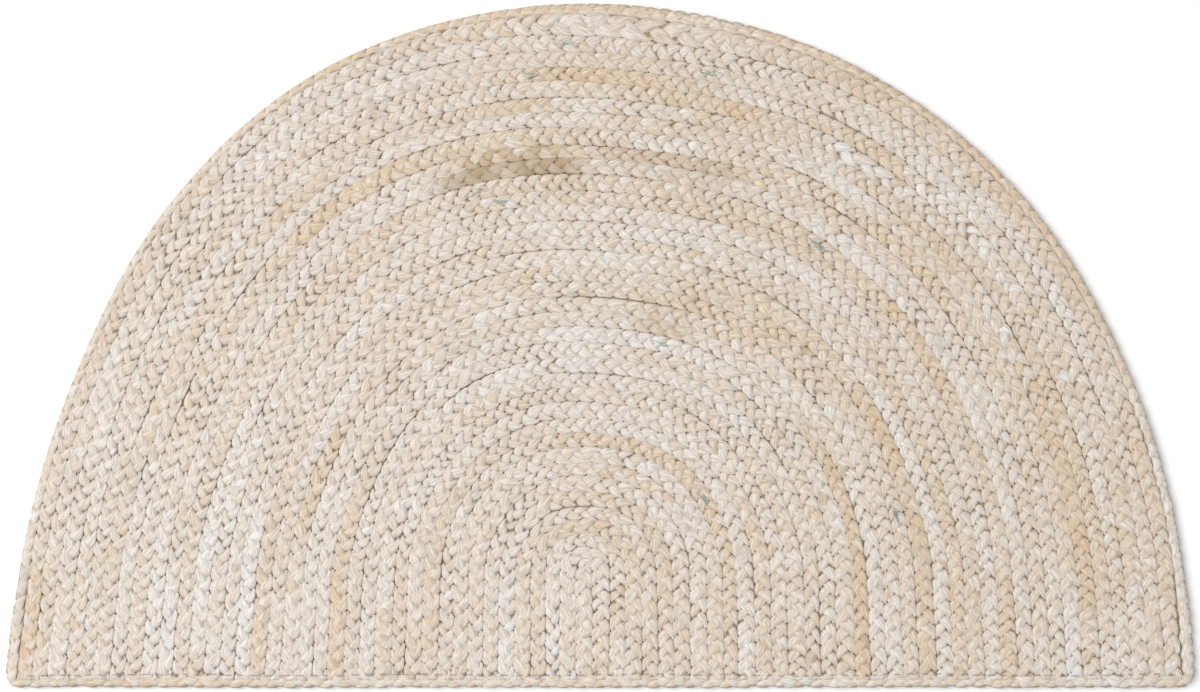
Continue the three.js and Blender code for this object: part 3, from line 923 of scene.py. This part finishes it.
def on_the_rows(line):
    """Whether a whole line lies on the coiled rows."""
    x, y = line[:, 0] - HEART[0], line[:, 1] - HEART[1]
    reach = field_reach(np.clip(angle_from_heart(x, y), RIM[0]["angle"], RIM[-1]["angle"]))
    return bool(np.all(np.hypot(x, y) < reach - INSIDE) and np.all(y > CUT + INSIDE))


def tacks():
    """Short threads that lace neighbouring rows together, where they show."""
    random = np.random.default_rng(6)
    for _ in range(TACKS):
        row = 1 + int((ROWS - 1) * math.sqrt(random.uniform()))
        spot, heading, width = row_place(random, row, random.uniform(-60, 240))
        spot = spot + width / 2 * np.array([math.sin(heading), -math.cos(heading)])
        heading += random.choice([-1, 1]) * random.uniform(0.3, 0.9)
        line = loose_line(random, spot, heading, random.uniform(2.5, 4.5), 0.05)
        if on_the_rows(line):
            height = fallen(line, 1) + 0.1 - 0.5 * np.abs(np.linspace(-1, 1, len(line))) ** 3
            yield thin_tube(line, height, TACK_RADIUS, 4, {"soil_and_shade": 0.12})


def stray_fibres():
    """Fibres that have worked loose: single ones, and pale tufts where a strand is frayed."""
    random = np.random.default_rng(7)
    for number in range(FIBRES + TUFTS):
        row = 1 + int(ROWS * math.sqrt(random.uniform()) * 0.999)
        spot, heading, width = row_place(random, row, random.uniform(-70, 250))
        heading += random.normal(0, 0.5)
        tuft = number >= FIBRES
        pale = tuft or random.uniform() < PALE_SHARE
        for _ in range(IN_A_TUFT if tuft else 1):
            start = spot + random.uniform(-0.5, 0.5, 2) * width
            own_heading = heading + random.normal(0, 0.12)
            line = loose_line(random, start, own_heading, random.uniform(6, 18), 0.09)
            marks = {"soil_and_shade": 0.0 if pale else random.uniform(0.15, 0.6)}
            if on_the_rows(line):
                yield thin_tube(line, fallen(line, 2) + 0.08, random.uniform(0.1, 0.2), 3, marks)


def teal_fibres():
    """Bunches of dyed fibre, spun into a strand here and there."""
    random = np.random.default_rng(8)
    for bunch in TEAL:
        spot, heading, width = row_place(random, bunch["row"], bunch["angle"])
        way = np.array([math.cos(heading), math.sin(heading)])
        for _ in range(bunch["fibres"]):
            start = spot + way * random.normal(-3, 2.5) + random.normal(0, 0.04, 2) * width
            own_heading = heading + random.normal(0, 0.12)
            line = loose_line(random, start, own_heading, random.uniform(5, 13), 0.07)
            height, radius = fallen(line, 1) + 0.02, random.uniform(0.08, 0.18)
            yield thin_tube(line, height, radius, 3, {"soil_and_shade": random.uniform(0, 0.6)})


seam = tube_mesh("seam_along_the_cut", list(seam_threads()), 2.4)
tacks_made = tube_mesh("tacks_between_rows", list(tacks()), 1.8)
strays = tube_mesh("stray_fibres", list(stray_fibres()), 0.9)
dyed = tube_mesh("dyed_fibres", list(teal_fibres()), 1.3)
for piece in (strays, dyed):
    piece.data.shade_flat()
for piece in (seam, tacks_made, strays, dyed):
    print(piece.name, "has", len(piece.data.polygons), "faces")

# %% [markdown]
# ## Materials
#
# Dry jute is matt, with a faint sheen from its fibres, and every strand shows fine streaks along its
# length. The streaks come from noise drawn out along the strand's own map, which follows it under
# and over. The colour also darkens to a deep brown towards the plait's middle height, down in the
# crevices: that brown is painted shade, for the shadow deep between the strands. A painted brown
# line in each crevice would look drawn.

# %% Node helpers and the jute


def node(tree, kind, inputs=(), **settings):
    """A shader node with its settings and inputs; an input that is a socket is linked."""
    made = tree.nodes.new("ShaderNode" + kind)
    for key, value in settings.items():
        setattr(made, key, value)
    for key, value in dict(inputs).items():
        if isinstance(value, bpy.types.NodeSocket):
            tree.links.new(value, made.inputs[key])
        else:
            made.inputs[key].default_value = value
    return made


def blend(tree, share, first, second, how="MIX"):
    """A colour mixed from two."""
    inputs = {"Factor": share, 6: first, 7: second}
    return node(tree, "Mix", inputs, data_type="RGBA", blend_type=how).outputs[2]


def spread(tree, value, low, high, to_low=0.0, to_high=1.0):
    """A value from low to high, drawn out smoothly to another range."""
    inputs = {"Value": value, "From Min": low, "From Max": high, "To Min": to_low, "To Max": to_high}
    return node(tree, "MapRange", inputs, interpolation_type="SMOOTHSTEP").outputs[0]


def streaks(tree, around, along, detail=2.0):
    """Noise on the strand's map, with so many streaks to a millimetre around and along."""
    place = node(tree, "UVMap", uv_map="Fibre").outputs[0]
    drawn = node(tree, "Mapping", {"Vector": place, "Scale": (around, along, 1)}).outputs[0]
    inputs = {"Vector": drawn, "Scale": 1.0, "Detail": detail, "Roughness": 0.55}
    return node(tree, "TexNoise", inputs, noise_dimensions="2D").outputs[0]


def mark(tree, name):
    return node(tree, "Attribute", attribute_name=name).outputs["Fac"]


JUTE = {
    "ivory": (0.65, 0.57, 0.5, 1),
    "straw": (0.62, 0.475, 0.325, 1),
    "bleached": (0.7, 0.67, 0.64, 1),
    "soil_and_shade_brown": (0.34, 0.23, 0.13, 1),
    "crevice_shade": (0.23, 0.145, 0.085, 1),
}
# Painted shade: towards the plait's middle height, down in the crevices, the colour is mixed to a deep
# brown; it starts and is full at these distances off the middle.
CREVICE_SHADE_STARTS, CREVICE_SHADE_FULL = 3.15, 1.0  # how far off the plait's middle height, above or below


def jute(name, colours, crevice_shade_share):
    material = bpy.data.materials.new(name)
    material.use_nodes = True
    tree = material.node_tree
    shader = tree.nodes["Principled BSDF"]
    fine, broad = streaks(tree, 1.3, 0.12, 4.0), streaks(tree, 0.55, 0.05)
    straw = node(tree, "Math", {0: mark(tree, "straw"), 1: spread(tree, broad, 0.3, 0.7, -0.18, 0.18)})
    colour = blend(tree, straw.outputs[0], colours["ivory"], colours["straw"])
    bleach = node(tree, "Math", {0: mark(tree, "bleach"), 1: spread(tree, fine, 0.35, 0.7, -0.2, 0.25)})
    colour = blend(tree, bleach.outputs[0], colour, colours["bleached"])
    shade = spread(tree, fine, 0.3, 0.65, 0.82, 1.09)
    grey = node(tree, "CombineColor", {0: shade, 1: shade, 2: shade}).outputs[0]
    colour = blend(tree, 1.0, colour, grey, "MULTIPLY")
    # Stains, and the painted shade towards the crown and the right, mix the colour towards brown.
    colour = blend(tree, mark(tree, "soil_and_shade"), colour, colours["soil_and_shade_brown"])
    place = node(tree, "TexCoord").outputs["Object"]
    height = node(tree, "SeparateXYZ", {0: place}).outputs[2]
    off_middle = node(tree, "Math", {0: height, 1: PLAIT_HEIGHT / 2 * MM}, operation="SUBTRACT")
    deep = node(tree, "Math", {0: off_middle.outputs[0]}, operation="ABSOLUTE").outputs[0]
    # painted shade in the crevices, for the shadow deep between the strands
    crevice_shade = spread(tree, deep, CREVICE_SHADE_STARTS * MM, CREVICE_SHADE_FULL * MM, 0.0, crevice_shade_share)
    colour = blend(tree, crevice_shade, colour, colours["crevice_shade"])
    tree.links.new(colour, shader.inputs["Base Color"])
    rough = spread(tree, fine, 0.3, 0.7, 0.92, 0.74)
    tree.links.new(rough, shader.inputs["Roughness"])
    shader.inputs["Sheen Weight"].default_value = 0.12
    shader.inputs["Sheen Roughness"].default_value = 0.5
    ridges = streaks(tree, 3.2, 0.09, 3.0)
    inputs = {"Height": ridges, "Strength": 0.7, "Distance": 0.35 * MM}
    tree.links.new(node(tree, "Bump", inputs).outputs[0], shader.inputs["Normal"])
    return material


# the last number is how far the painted crevice shade goes towards the deep brown
jute_plait = jute("bleached_jute", JUTE, 0.95)
jute_edging = jute("pale_gold_jute", dict(JUTE, ivory=(0.67, 0.58, 0.48, 1)), 0.6)
for band in bands:
    band.data.materials.append(jute_plait)
edging.data.materials.append(jute_edging)
print("jute finishes:", jute_plait.name, "and", jute_edging.name)

# %% The packed fibre's finish


def packed_fibre():
    material = bpy.data.materials.new("packed_fibre_painted_shade")
    material.use_nodes = True
    tree = material.node_tree
    shader = tree.nodes["Principled BSDF"]
    place = node(tree, "TexCoord").outputs["Object"]
    inputs = {"Vector": place, "Scale": 900.0, "Detail": 3.0}
    fluff = node(tree, "TexNoise", inputs).outputs[0]
    # Painted shade: the web is coloured a dark brown for the shadow deep between the strands.
    colour = blend(tree, spread(tree, fluff, 0.3, 0.7), (0.26, 0.18, 0.11, 1), (0.5, 0.39, 0.27, 1))
    tree.links.new(colour, shader.inputs["Base Color"])
    shader.inputs["Roughness"].default_value = 0.95
    inputs = {"Height": fluff, "Strength": 0.7, "Distance": 0.6 * MM}
    tree.links.new(node(tree, "Bump", inputs).outputs[0], shader.inputs["Normal"])
    return material


web.data.materials.append(packed_fibre())
print("the web's finish:", web.data.materials[0].name)

# %% The threads' and loose fibres' finishes


def thread_finish(name, first, second, twists):
    """Matt spun thread: two tones that run round it as it twists."""
    material = bpy.data.materials.new(name)
    material.use_nodes = True
    tree = material.node_tree
    shader = tree.nodes["Principled BSDF"]
    tone = streaks(tree, 2.0, twists)
    colour = blend(tree, spread(tree, tone, 0.3, 0.7), first, second)
    colour = blend(tree, mark(tree, "soil_and_shade"), colour, (0.2, 0.15, 0.1, 1))
    tree.links.new(colour, shader.inputs["Base Color"])
    shader.inputs["Roughness"].default_value = 0.85
    return material


seam.data.materials.append(thread_finish("grey_thread", (0.24, 0.23, 0.225, 1), (0.44, 0.42, 0.4, 1), 1.2))
tacks_made.data.materials.append(thread_finish("tan_thread", (0.4, 0.31, 0.2, 1), (0.6, 0.5, 0.36, 1), 1.0))
strays.data.materials.append(thread_finish("loose_fibre", (0.66, 0.6, 0.53, 1), (0.8, 0.77, 0.73, 1), 0.3))
dyed.data.materials.append(thread_finish("teal_fibre", (0.05, 0.27, 0.29, 1), (0.17, 0.45, 0.46, 1), 0.3))
for piece in (seam, tacks_made, strays, dyed):
    print(piece.name, "is finished in", piece.data.materials[0].name)

# %% [markdown]
# ## Riding and standing in
#
# Every piece rides on the imported rug's one body and stands for the solid that it replaces, which is
# hidden. The rug is a sheet of cloth that lies flat.


def settle(piece, replaced):
    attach(piece, "root")
    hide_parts(replaced)


for piece in bands + [web, strays, dyed]:
    settle(piece, "coiled_field")
for piece in (seam, tacks_made):
    settle(piece, "coiled_field")
settle(edging, "edging_plait")
